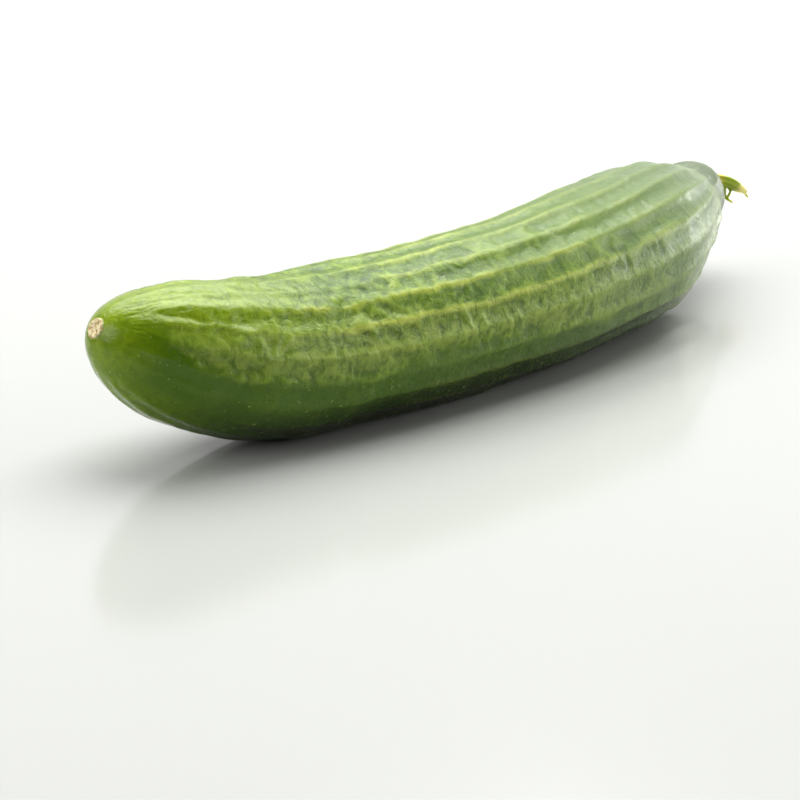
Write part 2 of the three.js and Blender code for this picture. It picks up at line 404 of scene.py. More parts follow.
def shoulder_place(s, angle):
    """1 on the shrunk skin low on the outer side of the shoulder."""
    low = smooth(np.cos(angle - np.radians(WRINKLE_SIDE)), 0.6, 0.95)
    return low * smooth(s, 192, 244) * (1 - smooth(s, 256, 270))


def wrinkle_relief(s, angle):
    swing = angle + 0.1 * skin_noise(s, angle, 8, 14, seed=71)
    lines = np.sqrt(skin_noise(s, swing, 15, 50, seed=72) ** 2 + 0.01)
    return WRINKLE_HEIGHT * (lines - 0.4) * shoulder_place(s, angle)


def rib_line(s, angle):
    """1 on the thin raised line that runs along a rib, 0 beside it."""
    swing = angle + 0.03 * skin_noise(s, angle, 5, 19, seed=61)
    swing = swing + 0.014 * skin_noise(s, angle, 2, 40, seed=62)
    near = smooth(rib_crest(s, swing), 0.6, 0.98)
    unbroken = smooth(skin_noise(s, angle, 12, RIB_COUNT, seed=63), -0.75, 0.2)
    return near * (0.25 + 0.75 * unbroken)


def skin_relief(s, angle):
    line_reach = smooth(s, 25, 60) * (1 - 0.75 * smooth(s, 130, 220))
    fine = fold_relief(s, angle) + pock_relief(s, angle) + nose_relief(s, angle)
    fine += wrinkle_relief(s, angle) - CREASE_HEIGHT * crease_lines(s, angle)
    fine += hump(s, *NECK_RING) + RIB_LINE_HEIGHT * rib_line(s, angle) * line_reach
    fine *= smooth(s, 0.5, 6) * smooth(FRUIT_LENGTH - s, 1, 14)
    return relief_fade(s) * main_relief(s, angle) + fine


middle_relief = skin_relief(walk, 0.0 * walk)
print("relief on the outer side, mm:", round(float(np.ptp(middle_relief)), 2))

# %% [markdown]
# ## Rings round the centre line
# The skin is one closed surface, built as rings. A ring is laid out with the three directions of its
# place, and a shift along the fruit lets a ring be dished, which the scar needs. With each ring go the
# numbers that the paint needs later.

# %% One ring
COLUMNS = 200
angles = np.linspace(0, 2 * np.pi, COLUMNS, endpoint=False)
rings = []
ring_marks = []


def ring_points(s, shift, radius):
    """One ring: its centre is moved along the fruit by shift, which may differ round the ring."""
    along, out, up = section_frame(np.array([s]))
    spokes = np.cos(angles)[:, None] * out + np.sin(angles)[:, None] * up
    middle = centre_point(np.array([s])) + np.reshape(shift, (-1, 1)) * along
    return middle + np.reshape(radius, (-1, 1)) * spokes


def add_ring(s, shift, radius, cork=0.0):
    rings.append(ring_points(s, shift, radius))
    mean_radius = np.mean(radius)
    ring_marks.append([np.broadcast_to(value, COLUMNS) for value in (s, mean_radius, cork)])


print("one column every", round(2 * math.pi * BODY_RADIUS / COLUMNS, 2), "mm round the fruit")

# %% [markdown]
# ## The blossom scar
# Where the flower fell off, the fruit has closed itself with cork: a small dish with a raised, ragged
# rim and a crumbled floor. A disc laid on the nose would look stuck on. Here the first rings of the skin
# itself sink and rise, so the cork grows out of the skin.

# %% Rings of the scar
SCAR_RADIUS = 3.1
SCAR_EDGE = 1.28
SCAR_RIM = 0.45
SCAR_DEPTH = 0.3
SCAR_CRUMB = 0.16
SCAR_PITCH = 0.19
FIRST_RADIUS = 0.15


def scar_sink(radius):
    """How far the cork lies in (positive) or stands out at a distance from the scar's middle."""
    places = SCAR_RADIUS * np.array([0, 0.42, 0.7, 0.84, 1.0, SCAR_EDGE])
    sinks = np.array([SCAR_DEPTH, 0.7 * SCAR_DEPTH, -0.35 * SCAR_RIM, -SCAR_RIM, 0.1, 0])
    return np.interp(radius, places, sinks)


tip = np.zeros(COLUMNS)
ragged = 1 + 0.05 * skin_noise(tip, angles, 5, 11, seed=41) + 0.03 * skin_noise(tip, angles, 5, 29, seed=43)
for radius in np.arange(FIRST_RADIUS, SCAR_EDGE * SCAR_RADIUS + 0.01, SCAR_PITCH):
    cork = 1 - smooth(radius / (SCAR_RADIUS * ragged), 0.86, 1.06)
    grains = skin_noise(np.full(COLUMNS, 3 * radius), angles, 0.9, max(6, int(7 * radius)), seed=42)
    crumbled = SCAR_CRUMB * cork * grains
    add_ring(0.0, nose_depth(radius) + scar_sink(radius / ragged) + crumbled, radius, cork)
print(len(rings), "rings of cork")

# %% [markdown]
# ## From the scar to the pit
# Rings at even steps along the axis would leave the blunt nose coarse, so they are spaced evenly over
# the skin itself: its length is measured in fine steps first, and then shared out. The last few rings
# turn in over a round lip and line the pit that the stalk stands in.

# %% Rings of the body and the pit
RING_PITCH = 0.68
PIT_RADIUS = 2.4
PIT_LIP_RADIUS = 3.0
PIT_DEPTH = 4.5
MEASURING_STEPS = 8000

first = nose_depth(SCAR_EDGE * SCAR_RADIUS) + 0.15
last = FRUIT_LENGTH - neck_depth(PIT_LIP_RADIUS)
fine_s = first + (last - first) * (0.5 - 0.5 * np.cos(np.linspace(0, np.pi, MEASURING_STEPS)))
skin_run = np.concatenate([[0], np.cumsum(np.hypot(np.diff(fine_s), np.diff(skin_radius(fine_s))))])
ring_count = int(skin_run[-1] / RING_PITCH)
for s in np.interp(np.linspace(0, skin_run[-1], ring_count), skin_run, fine_s):
    add_ring(s, 0.0, skin_radius(s) + skin_relief(s, angles))

lip_depth = neck_depth(PIT_LIP_RADIUS)
pit_wall = ((0.05, 2.8), (0.16, 2.55), (0.4, PIT_RADIUS), (2.0, 2.35), (PIT_DEPTH - lip_depth, 2.3))
for shift, radius in pit_wall:
    add_ring(FRUIT_LENGTH, -lip_depth - shift, radius)
print(len(rings), "rings of", COLUMNS, "points")

# %% [markdown]
# ## From rings to a mesh
# Neighbouring rings are joined by quads, and the two ends are closed with fans, so the mesh has no hole.
# The underside is pressed flat where it would go below the table, as a heavy fruit's skin is.

# %% A closed surface through rings
MM = 0.001


def ringed_mesh(name, ring_list, start, end):
    sides = len(ring_list[0])
    points = np.vstack([start[None], *ring_list, end[None]])
    left = np.arange(sides)
    right = (left + 1) % sides
    quads = []
    for i in range(len(ring_list) - 1):
        row = 1 + i * sides
        quads.append(np.stack([row + left, row + sides + left, row + sides + right, row + right], -1))
    final = len(points) - 1
    fan_a = np.stack([np.zeros(sides, int), 1 + left, 1 + right], -1)
    fan_b = np.stack([np.full(sides, final), final - sides + right, final - sides + left], -1)
    faces = np.vstack(quads).tolist() + fan_a.tolist() + fan_b.tolist()
    mesh = bpy.data.meshes.new(name)
    mesh.from_pydata((points * MM).tolist(), [], faces)
    mesh.shade_smooth()
    return mesh


def lay_flat(ring):
    return np.stack([ring[:, 0], ring[:, 1], np.maximum(ring[:, 2], 0)], -1)


scar_middle = ring_points(0.0, SCAR_DEPTH, 0.0)[0]
pit_bottom = ring_points(FRUIT_LENGTH, -PIT_DEPTH, 0.0)[0]
fruit_mesh = ringed_mesh("fruit_skin", [lay_flat(ring) for ring in rings], scar_middle, pit_bottom)
print(len(fruit_mesh.polygons), "faces")

# %% [markdown]
# ## Setting the skin over the solid
# The formulas start at the blossom end, while the solid model has its origin under its middle. The
# solid's own box says where it lies, so the skin is moved by the difference of the two boxes' middles.
# It then takes the solid's place in the picture and stays with the same body.

# %% Place the fruit
solid_low, solid_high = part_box("fruit")
skin_corners = np.array([v.co for v in fruit_mesh.vertices])
skin_middle = (skin_corners.min(0) + skin_corners.max(0)) / 2
move = Vector((*((solid_low + solid_high) / 2 - Vector(skin_middle)).xy, 0))
for vertex in fruit_mesh.vertices:
    vertex.co += move

fruit = bpy.data.objects.new("fruit_skin", fruit_mesh)
bpy.context.collection.objects.link(fruit)
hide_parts("fruit")
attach(fruit, "root")
print("moved by", [round(1000 * v, 2) for v in move], "mm")

# %% [markdown]
# ## Marks for the paint
# The paint has to know where it is on the fruit. A projected picture would slide over the bend, so each
# point keeps its own numbers: where it lies on the unrolled skin, how high its rib is, how folded it is,
# and whether it is cork. The pale rib lines start behind the nose and fade on the far side.

# %% Marks from the relief
RIB_LINE_SIDE = 108
s_mark = np.concatenate([[0], *[m[0] for m in ring_marks], [FRUIT_LENGTH]])
radius_mark = np.concatenate([[0], *[m[1] for m in ring_marks], [0]])
angle_mark = np.concatenate([[0], *[angles for _ in ring_marks], [0]])
unrolled = np.stack([s_mark, radius_mark * np.cos(angle_mark), radius_mark * np.sin(angle_mark)], -1)

line_turn = np.abs(signed_turn(angle_mark - np.radians(RIB_LINE_SIDE)))
line_side = 1 - 0.88 * smooth(line_turn, np.radians(78), np.radians(100))
line_start = np.where(angle_mark > np.radians(56), 95.0, 45.0)
line_reach = smooth(s_mark - line_start, -30, 30) * (1 - 0.75 * smooth(s_mark, 240, 270))
skin_marks = {
    "rib": rib_crest(s_mark, angle_mark) * rib_strength(s_mark, angle_mark),
    "line": rib_line(s_mark, angle_mark) * line_side * line_reach,
    "fine_mm": fold_relief(s_mark, angle_mark) + pock_relief(s_mark, angle_mark),
    "crease": crease_lines(s_mark, angle_mark),
    "shrunk": shoulder_place(s_mark, angle_mark),
    "cork": np.concatenate([[1], *[m[2] for m in ring_marks], [0]]),
}
print("widest unrolled radius:", round(float(radius_mark.max()), 1), "mm")

# %% [markdown]
# ## Painted shade, painted haze and other marks
# The underside is painted deep green as painted shade, with a ragged edge. It climbs over the front
# of the nose and grows darker towards the bottom. Above it along the outer flank lies a pale band of
# painted haze, a painted reflection. The top of the stalk half is calm and even, and the nose turns lime
# at its top, round the scar and underneath.

# %% Marks of light and shade
CALM_SIDE = 98
LIME_TOP_SIDE = 82
LIME_UNDER_SIDE = -105
down_turn = np.pi / 2 - (np.pi / 2 - angle_mark) % (2 * np.pi)
# Painted shade: the underside and the front of the nose are painted deep green up to this ragged edge, and
# the second term darkens the bottom further.
belly_edge = np.radians(-5 + 40 * (1 - smooth(s_mark, 1, 26)) - 22 * smooth(s_mark, 105, 200))
belly_edge += 0.06 * skin_noise(s_mark, angle_mark, 9, 30, seed=51)
belly_edge += 0.04 * skin_noise(s_mark, angle_mark, 3, 30, seed=52)
belly = 0.6 * (1 - smooth(down_turn - belly_edge, -0.05, 0.05))
belly += 0.4 * (1 - smooth(down_turn, np.radians(-48), np.radians(-14))) * smooth(s_mark, 12, 60)
skin_marks["belly"] = belly * smooth(down_turn, np.radians(-185), np.radians(-155))

# Painted haze: a pale band above the painted shade, a painted reflection along the outer flank and over the
# front of the nose.
painted_haze_top = np.radians(20 + 20 * (1 - smooth(s_mark, 75, 125)))
light = smooth(down_turn - belly_edge, 0.0, 0.16) * (1 - smooth(down_turn - painted_haze_top, -0.1, 0.16))
skin_marks["light"] = light * smooth(s_mark, 2, 26) * (1 - smooth(s_mark, 165, 215))

calm_side = smooth(np.cos(angle_mark - np.radians(CALM_SIDE)), 0.2, 0.75)
skin_marks["calm"] = smooth(s_mark, 80, 180) * calm_side
lime_top = (1 - smooth(s_mark, 10, 80)) * smooth(np.cos(angle_mark - np.radians(LIME_TOP_SIDE)), 0.3, 0.9)
lime_under = smooth(np.cos(angle_mark - np.radians(LIME_UNDER_SIDE)), 0.1, 0.9)
lime_under *= 0.6 * (1 - smooth(s_mark, 5, 45))
lime_scar = 0.75 * (1 - smooth(s_mark, 1, 16))
skin_marks["lime"] = np.maximum(np.maximum(lime_top, lime_scar), lime_under)
print("share of the skin that is deep green:", round(float((skin_marks["belly"] > 0.3).mean()), 2))

# %% [markdown]
# ## Keeping the marks on the mesh
# A mesh can carry named numbers on its points, and a material can read them by name. They follow the
# surface exactly, and there is no picture to unwrap.

# %% Keep the marks
def keep_on_points(mesh, name, values):
    """Stores one number or one vector on each point."""
    kind, slot = ("FLOAT", "value") if values.ndim == 1 else ("FLOAT_VECTOR", "vector")
    mesh.attributes.new(name, kind, "POINT").data.foreach_set(slot, values.astype(np.float32).ravel())


keep_on_points(fruit_mesh, "unrolled_mm", unrolled)
for mark_name, mark_values in skin_marks.items():
    keep_on_points(fruit_mesh, mark_name, mark_values)
print("kept on the skin:", ", ".join(skin_marks))

# %% [markdown]
# ## Tubes for the torn stalk
# The stalk was pulled, not cut, so its stub and the strips that hang from it all bend and taper. Each
# is a tube: a smooth curve through a few places, with rings set square to it. A bevelled curve would do
# the same, but here the radius may differ round the ring, so the stub can have ridges.

# %% Tubes along a route
ROUTE_STEPS = 40


def smooth_route(points, count):
    """A smooth curve through all the points, at even steps."""
    points = np.array(points, float)
    padded = np.vstack([2 * points[0] - points[1], points, 2 * points[-1] - points[-2]])
    out = []
    for i in range(1, len(padded) - 2):
        a, b, c, d = padded[i - 1 : i + 3]
        for t in np.linspace(0, 1, ROUTE_STEPS, endpoint=i == len(padded) - 3):
            square = (2 * a - 5 * b + 4 * c - d) * t**2
            cube = (3 * b - a - 3 * c + d) * t**3
            out.append(0.5 * (2 * b + (c - a) * t + square + cube))
    out = np.array(out)
    run = np.concatenate([[0], np.cumsum(np.linalg.norm(np.diff(out, axis=0), axis=1))])
    even = np.linspace(0, run[-1], count)
    return np.stack([np.interp(even, run, out[:, k]) for k in range(3)], -1)


def stalk_point(route):
    """Turns [along, outwards, upwards] at the stalk end into a place."""
    along, out, up = (v[0] for v in section_frame(np.array([FRUIT_LENGTH])))
    return centre_point(FRUIT_LENGTH) + np.array(route) @ np.stack([along, out, up])


def tube_mesh(name, route, sides, count, radius_at):
    """A tapered tube, whose radius is given by how far along it and how far round it a point is."""
    line = smooth_route(stalk_point(route), count)
    run = np.gradient(line, axis=0)
    run /= np.linalg.norm(run, axis=1, keepdims=True)
    up = section_frame(np.array([FRUIT_LENGTH]))[2][0]
    turn = np.linspace(0, 2 * np.pi, sides, endpoint=False)
    tube = []
    for i, t in enumerate(np.linspace(0, 1, count)):
        across = np.cross(run[i], up)
        across /= np.linalg.norm(across)
        upward = np.cross(across, run[i])
        spokes = np.cos(turn)[:, None] * across + np.sin(turn)[:, None] * upward
        tube.append(line[i] + radius_at(t, turn)[:, None] * spokes)
    return ringed_mesh(name, tube, line[0], line[-1]), line


print("the stalk grows from", centre_point(FRUIT_LENGTH).round(1))

# %% [markdown]
# ## The stub and its strips
# The stub has five soft ridges, as cucumber stalks have. It stands clear of its pit by a third of a
# millimetre, bends outwards and ends in a torn point, where the fibres part. Thin strips of its own skin
# hang from it, a long one and two short ones.

# %% Stub and strips
CLEARANCE = 0.35
PIT_TAPER = 0.1
RIDGE_ROOM = 0.1
RIDGE_HEIGHT = 0.1
STUB_RADIUS = 1.7
STUB_TIP_RADIUS = 0.3
STUB_RIDGES = 5
STRIP_RADIUS = 0.55
STRIP_TIP_RADIUS = 0.3
stub_route = [
    [CLEARANCE - PIT_DEPTH, 0, 0], [-1, 0, 0], [1.8, 0.4, 0],
    [4.2, 3.4, 0.1], [5.9, 9, -1.2], [7.4, 15.3, -4.9],
]
strip_routes = [
    [[5.2, 6.4, -0.6], [4.9, 8.0, -3.4], [4.5, 8.6, -6.2], [4.9, 10.9, -8.0]],
    [[5.5, 8.6, -1.4], [5.3, 10.0, -3.9], [4.6, 9.2, -6.4], [4.5, 9.9, -7.4]],
    [[7.0, 12.6, -3.4], [7.7, 14.6, -5.6], [7.6, 15.6, -6.9]],
]


def stub_radius(t, turn):
    root = PIT_RADIUS - PIT_TAPER - CLEARANCE - RIDGE_ROOM
    flesh = root + (1.12 * STUB_RADIUS - root) * smooth(t, 0.2, 0.45)
    torn = max(0, (t - 0.7) / 0.3) ** 2.2
    point = 1 - (1 - STUB_TIP_RADIUS / STUB_RADIUS) * torn
    ridges = 1 + RIDGE_HEIGHT * np.cos(STUB_RIDGES * turn)
    fibres = 1 + (0.035 + 0.12 * torn) * np.sin(11 * turn + 3 * t) * np.sin(17 * turn - 9 * t)
    return flesh * point * ridges * fibres


def strip_radius(t, turn):
    thick = STRIP_RADIUS + (STRIP_TIP_RADIUS - STRIP_RADIUS) * t
    return thick * (1 + 0.25 * np.cos(2 * turn + 4 * t))


stub_mesh, stub_line = tube_mesh("stub", stub_route, 60, 120, stub_radius)
strip_meshes = [tube_mesh("strip", route, 20, 60, strip_radius)[0] for route in strip_routes]
stub_length = np.linalg.norm(np.diff(stub_line, axis=0), axis=1).sum()
print("stub:", round(float(stub_length), 1), "mm long, with", len(strip_meshes), "strips")

# %% [markdown]
# ## Melting the strips into the stub
# The strips grow out of the stub, so all of it is one body. Joining the meshes would leave one inside
# the other. A voxel remesh keeps only the outer surface, and at a sixth of a millimetre it also rounds
# the joints as flesh does. Each point then keeps how far along the stub it is, for the paint.

# %% Remesh
MELT_VOXEL = 0.16

stub = bpy.data.objects.new("stalk_stub", stub_mesh)
bpy.context.collection.objects.link(stub)
joined = bmesh.new()
for part_mesh in (stub_mesh, *strip_meshes):
    joined.from_mesh(part_mesh)
bmesh.ops.translate(joined, vec=move, verts=joined.verts)
joined.to_mesh(stub.data)
joined.free()
melt = stub.modifiers.new("melt", "REMESH")
melt.mode = "VOXEL"
melt.voxel_size = MELT_VOXEL * MM
melted = bpy.data.meshes.new_from_object(stub.evaluated_get(bpy.context.evaluated_depsgraph_get()))
stub.modifiers.clear()
stub.data = melted
melted.shade_smooth()

where = np.array([v.co for v in melted.vertices]) / MM - np.array(move) / MM
nearest = np.argmin(np.linalg.norm(where[:, None] - stub_line[None], axis=-1), axis=1)
keep_on_points(melted, "along", nearest / (len(stub_line) - 1))
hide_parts("stem_stub")
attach(stub, "root")
print("stub:", len(melted.polygons), "faces")

# %% [markdown]
# ## Tools for paint
# One function turns the hex colours that a picture editor shows into the linear numbers that Blender
# mixes. One adds a node with its settings and links, one starts a material, and one sets the colours of
# a ramp.

# %% Colour and node helpers
def linear(hex_colour, alpha=1.0):
    channels = [int(hex_colour[i : i + 2], 16) / 255 for i in (1, 3, 5)]
    return [c / 12.92 if c <= 0.04045 else ((c + 0.055) / 1.055) ** 2.4 for c in channels] + [alpha]


def add_node(tree, kind, inputs=None, **settings):
    """Adds a node. An input may be a number, a colour or another node's output."""
    node = tree.nodes.new(kind)
    for name, value in settings.items():
        setattr(node, name, value)
    for name, value in (inputs or {}).items():
        if isinstance(value, bpy.types.NodeSocket):
            tree.links.new(value, node.inputs[name])
        else:
            node.inputs[name].default_value = value
    return node


def new_material(name):
    material = bpy.data.materials.new(name)
    material.use_nodes = True
    material.node_tree.nodes.clear()
    return material, material.node_tree


def set_stops(ramp, stops):
    """Gives a colour ramp its (place, colour) stops, from low to high."""
    for element, (place, colour) in zip(ramp.elements, (stops[0], stops[-1])):
        element.position = place
        element.color = linear(colour)
    for place, colour in stops[1:-1]:
        ramp.elements.new(place).color = linear(colour)


print("middle grey is", round(linear("#808080")[0], 3), "in linear light")

# %% [markdown]
# ## Waxy cucumber skin
# The skin of a cucumber is a thin green layer under a clear film of wax. It grew, so nothing in it
# repeats exactly. Four patterns lie over each other: a mottle of three millimetres, short strokes across
# the fruit where the skin was stretched, hairlines along it, and patches of about twelve millimetres.
# All of them are noise in the unrolled millimetres, so they bend with the fruit and have no seam.

# %% Skin: marks and patterns
skin, skin_tree = new_material("waxy_cucumber_skin")
unrolled_mm = add_node(skin_tree, "ShaderNodeAttribute", attribute_name="unrolled_mm").outputs["Vector"]
place = add_node(skin_tree, "ShaderNodeSeparateXYZ", {"Vector": unrolled_mm}).outputs["X"]
mark = {
    name: add_node(skin_tree, "ShaderNodeAttribute", attribute_name=name).outputs["Fac"]
    for name in skin_marks
}


def skin_pattern(along_mm, round_mm, detail, distortion=0.0):
    """Noise whose spots are along_mm long on the fruit and round_mm wide round it."""
    scaled = add_node(
        skin_tree, "ShaderNodeVectorMath",
        {0: unrolled_mm, 1: (1 / along_mm, 1 / round_mm, 1 / round_mm)},
        operation="MULTIPLY",
    )
    spots = {"Scale": 1.0, "Detail": detail, "Roughness": 0.62, "Distortion": distortion}
    noise = add_node(skin_tree, "ShaderNodeTexNoise", {"Vector": scaled.outputs["Vector"], **spots})
    return noise.outputs["Fac"]


mottle = skin_pattern(3.0, 3.0, 4.0, 0.6)
strokes = skin_pattern(1.5, 5.0, 1.0, 0.4)
hairlines = skin_pattern(8.0, 0.8, 3.0, 0.3)
patches = skin_pattern(14.0, 11.0, 2.0)
print(len(mark), "marks and four patterns for the skin")

# %% [markdown]
# ## Amounts and coats
# Paint on a natural thing is rarely even. How much of a coat lies on a spot depends on where the spot is
# and on the patterns. So an amount is a product of factors, each read off a mark or a pattern through a
# range, and a colour is a pile of coats, each with its amount.

# %% Skin: how coats are laid
def amount(*factors):
    """Multiplies factors. Each is an output, or an output with the range that it is read through:
    from low, from high, to low, to high, and SMOOTHSTEP where the ends are soft."""
    total = 1.0
    for factor in factors:
        if isinstance(factor, tuple):
            value, low, high, to_low, to_high, *ends = factor
            reading = add_node(
                skin_tree, "ShaderNodeMapRange",
                {"Value": value, "From Min": low, "From Max": high, "To Min": to_low, "To Max": to_high},
                interpolation_type=ends[0] if ends else "LINEAR",
            )
            factor = reading.outputs["Result"]
        product = add_node(skin_tree, "ShaderNodeMath", {0: total, 1: factor}, operation="MULTIPLY")
        total = product.outputs[0]
    return total


def lay_coats(under, coats):
    """Lays coats over a colour, one after another. Each is its amount and its own colour."""
    for share, colour in coats:
        over = linear(colour) if isinstance(colour, str) else colour
        mixed = add_node(skin_tree, "ShaderNodeMix", {0: share, 6: under, 7: over}, data_type="RGBA")
        under = mixed.outputs[2]
    return under


print("skin nodes before any coat:", len(skin_tree.nodes))

# %% [markdown]
# ## Tone of the green
# The tone is a sum: half for a middle green, more on a fold or a rib, less in a crease. The real skin is
# darker in its low places too, and this sum adds painted shade in the hollows and painted light on the
# crests. On the calm top and on the nose it is drawn towards an even value. A ramp then gives deep green
# in the grooves, fresh green on the slopes and yellow green on top.

# %% Skin: tone of the green
tone = amount((mottle, 0.3, 0.7, 0.28, 0.72))
for part in (
    (strokes, 0.3, 0.7, -0.07, 0.07),
    # folds and ribs: painted shade in the hollows and painted light on the crests
    (mark["fine_mm"], -0.45, 0.45, -0.2, 0.24),
    (mark["rib"], 0.0, 1.0, -0.1, 0.16),
    (patches, 0.3, 0.7, -0.06, 0.06),
):
    tone = add_node(skin_tree, "ShaderNodeMath", {0: tone, 1: amount(part)}, operation="ADD").outputs[0]
for share, even_tone in (
    (amount((mark["calm"], 0.0, 1.0, 0.0, 0.8)), 0.47),
    (amount((place, 5.0, 60.0, 0.6, 0.0)), 0.42),
):
    tone = add_node(skin_tree, "ShaderNodeMix", {0: share, 2: tone, 3: even_tone}).outputs[0]
greens = add_node(skin_tree, "ShaderNodeValToRGB", {"Fac": tone})
set_stops(greens.color_ramp, [(0.12, "#39570c"), (0.42, "#5f7c1a"), (0.68, "#86a030"), (0.92, "#b3bf58")])
print("greens from", len(greens.color_ramp.elements), "stops")

# %% [markdown]
# ## Coats of the whole fruit
# Over the greens lie the coats. The underside gets deep green painted shade, the flank above it a paler
# painted haze, the nose turns lime, the creases get darker painted shade, and thin pale lines run along
# the ribs. The mottle shows through each coat, so that none of them has a drawn edge.

# %% Skin: underside, flank, nose, creases and rib lines
# Painted shade: deep green for the underside and the front of the nose, darker still towards the bottom.
painted_deep_shade = lay_coats(linear("#517305"), [(amount((mark["belly"], 0.6, 1.0, 0.0, 1.0)), "#0f1e02")])
line_amount = amount(
    mark["line"],
    (mottle, 0.32, 0.6, 0.45, 0.9),
    (mark["calm"], 0.0, 1.0, 1.0, 0.6),
    (place, 120.0, 230.0, 1.0, 0.5),
)
painted = lay_coats(greens.outputs["Color"], [
    (amount((mark["belly"], 0.0, 0.6, 0.0, 0.86)), painted_deep_shade),
    # painted haze on the flank above the painted shade, a painted reflection
    (amount(mark["light"], (mottle, 0.34, 0.6, 0.08, 0.62)), "#9bac52"),
    (amount(mark["lime"], (mottle, 0.3, 0.62, 0.45, 1.0)), "#90a61d"),
    # painted shade in the creases
    (amount((mark["crease"], 0.2, 0.8, 0.0, 0.7)), "#4c6a0c"),
    (line_amount, "#b6c054"),
])
print("skin nodes with the first coats:", len(skin_tree.nodes))

# %% [markdown]
# ## Bloom, neck and specks
# Cucumbers carry a thin grey bloom of wax that can be rubbed off. It thickens towards the stalk and
# makes the neck look grey, with a pale ring before it. Its edges waver, because it was never painted on.
# On the calm top a little more of it is laid as painted sheen. Pale streaks over the shrunk skin of the
# shoulder are a painted reflection, and rare pale specks are the stumps of tiny hairs, drawn at about a
# millimetre, as smaller ones wouldn't show.

# %% Skin: bloom, neck and specks
SOFT = "SMOOTHSTEP"
BLOOM_START = 115.0
BLOOM_END = 274.0
WAVER = 16.0
wrinkles = skin_pattern(9.0, 1.4, 2.0, 0.4)
specks = skin_pattern(0.9, 0.9, 0.0)
straight = add_node(skin_tree, "ShaderNodeMath", {0: place, 1: WAVER / 2}, operation="SUBTRACT").outputs[0]
waving = {0: patches, 1: WAVER, 2: straight}
edge_place = add_node(skin_tree, "ShaderNodeMath", waving, operation="MULTIPLY_ADD").outputs[0]
film = amount((place, BLOOM_START, BLOOM_END, 0.0, 0.9, SOFT), (mottle, 0.3, 0.7, 0.75, 1.0))
# Painted sheen: a little more of the grey on the calm top of the stalk half. The bloom below joins the real
# wax bloom and this painted sheen.
painted_top_sheen = amount((mark["calm"], 0.0, 1.0, 0.0, 0.2))
bloom = add_node(skin_tree, "ShaderNodeMath", {0: film, 1: painted_top_sheen}, operation="MAXIMUM").outputs[0]
neck_cap = amount((edge_place, 255.0, 270.0, 0.0, 0.58, SOFT), (mottle, 0.3, 0.7, 0.82, 1.0))
neck_ring = amount((edge_place, 246.0, 258.0, 0.0, 0.34, SOFT), (edge_place, 258.0, 266.0, 1.0, 0.0, SOFT))
painted = lay_coats(painted, [
    (bloom, "#77866a"),
    # painted reflection: pale streaks on the shrunk skin low on the outer shoulder
    (amount(mark["shrunk"], (wrinkles, 0.34, 0.62, 0.18, 0.6)), "#c3cfa4"),
    (neck_cap, "#6a735e"),
    (neck_ring, "#adb895"),
    (amount((specks, 0.77, 0.82, 0.0, 0.4)), "#b4be74"),
])
print("bloom from", BLOOM_START, "to", BLOOM_END, "mm from the blossom end")

# %% [markdown]
# ## Cork of the scar
# Cork is dead, dry tissue: pale, dull, and crumbled in grains of about half a millimetre, with brown
# between them. The grains are drawn at a millimetre, so that they show at this distance.

# %% Skin: cork
CORK_GRAIN = 1.0
grains = skin_pattern(CORK_GRAIN, CORK_GRAIN, 4.0, 0.4)
cork_colour = lay_coats(linear("#b08a4c"), [(amount((grains, 0.36, 0.54, 0.0, 1.0)), "#f9ecc4")])
painted = lay_coats(painted, [(mark["cork"], cork_colour)])
print("cork grains drawn at", CORK_GRAIN, "mm")

# %% [markdown]
# ## Shine and small bumps
# The shine comes from the wax, with an IOR of about 1.4. Its roughness is uneven, and lower on the taut
# skin of the nose and the underside, while the cork is dull. The bump is in real millimetres: the mottle
# moves the skin by a tenth, and strokes and hairlines by less. Pores of a quarter of a millimetre would
# be lost in the picture, so they are drawn at twice their size. A little light passes through the skin.

# %% Skin: shine and bumps
uneven = add_node(skin_tree, "ShaderNodeMath", {0: patches, 1: strokes}, operation="ADD").outputs[0]
gloss = amount(
    (uneven, 0.7, 1.3, 0.34, 0.46),
    (place, 20.0, 90.0, 0.55, 1.0),
    (mark["belly"], 0.0, 0.6, 1.0, 0.68),
    (mark["shrunk"], 0.0, 1.0, 1.0, 0.7),
)
roughness = add_node(skin_tree, "ShaderNodeMix", {0: mark["cork"], 2: gloss, 3: 0.85}).outputs[0]

pores = skin_pattern(0.5, 0.5, 2.0)
height = 0.0
for source, depth_mm in (
    (mottle, 0.5),
    (strokes, amount((place, 150.0, 230.0, 0.14, 0.05))),
    (hairlines, 0.1),
    (pores, 0.04),
):
    layer = {0: source, 1: depth_mm, 2: height}
    height = add_node(skin_tree, "ShaderNodeMath", layer, operation="MULTIPLY_ADD").outputs[0]
height = amount(height, (place, 5.0, 55.0, 0.65, 1.0), (mark["calm"], 0.0, 1.0, 1.0, 0.45))
crumbs = amount(mark["cork"], grains)
rough_cork = add_node(skin_tree, "ShaderNodeMath", {0: crumbs, 1: 0.5, 2: height}, operation="MULTIPLY_ADD")
bump_values = {"Height": rough_cork.outputs[0], "Strength": 1.0, "Distance": MM}
bumped = add_node(skin_tree, "ShaderNodeBump", bump_values)
wax = add_node(
    skin_tree, "ShaderNodeBsdfPrincipled",
    {
        "Base Color": painted,
        "Roughness": roughness,
        "Normal": bumped.outputs["Normal"],
        "IOR": 1.38,
        "Coat Weight": 0.2,
        "Coat Roughness": 0.14,
        "Subsurface Weight": 0.08,
        "Subsurface Radius": (0.5, 1.0, 0.2),
        "Subsurface Scale": 1.5 * MM,
    },
)
add_node(skin_tree, "ShaderNodeOutputMaterial", {"Surface": wax.outputs["BSDF"]})
fruit.data.materials.append(skin)
print("skin material:", len(skin_tree.nodes), "nodes")

# %% [markdown]
# ## Torn stalk
# A fresh stalk is soft green fibre. Where it was pulled it shows yellow, and the torn point dries pale,
# which gives the eye a small warm accent. The colour runs along the stub by the number that each point
# kept, and fibres half a millimetre wide push it to and fro. Wet flesh lets much light through, so its
# subsurface is strong.

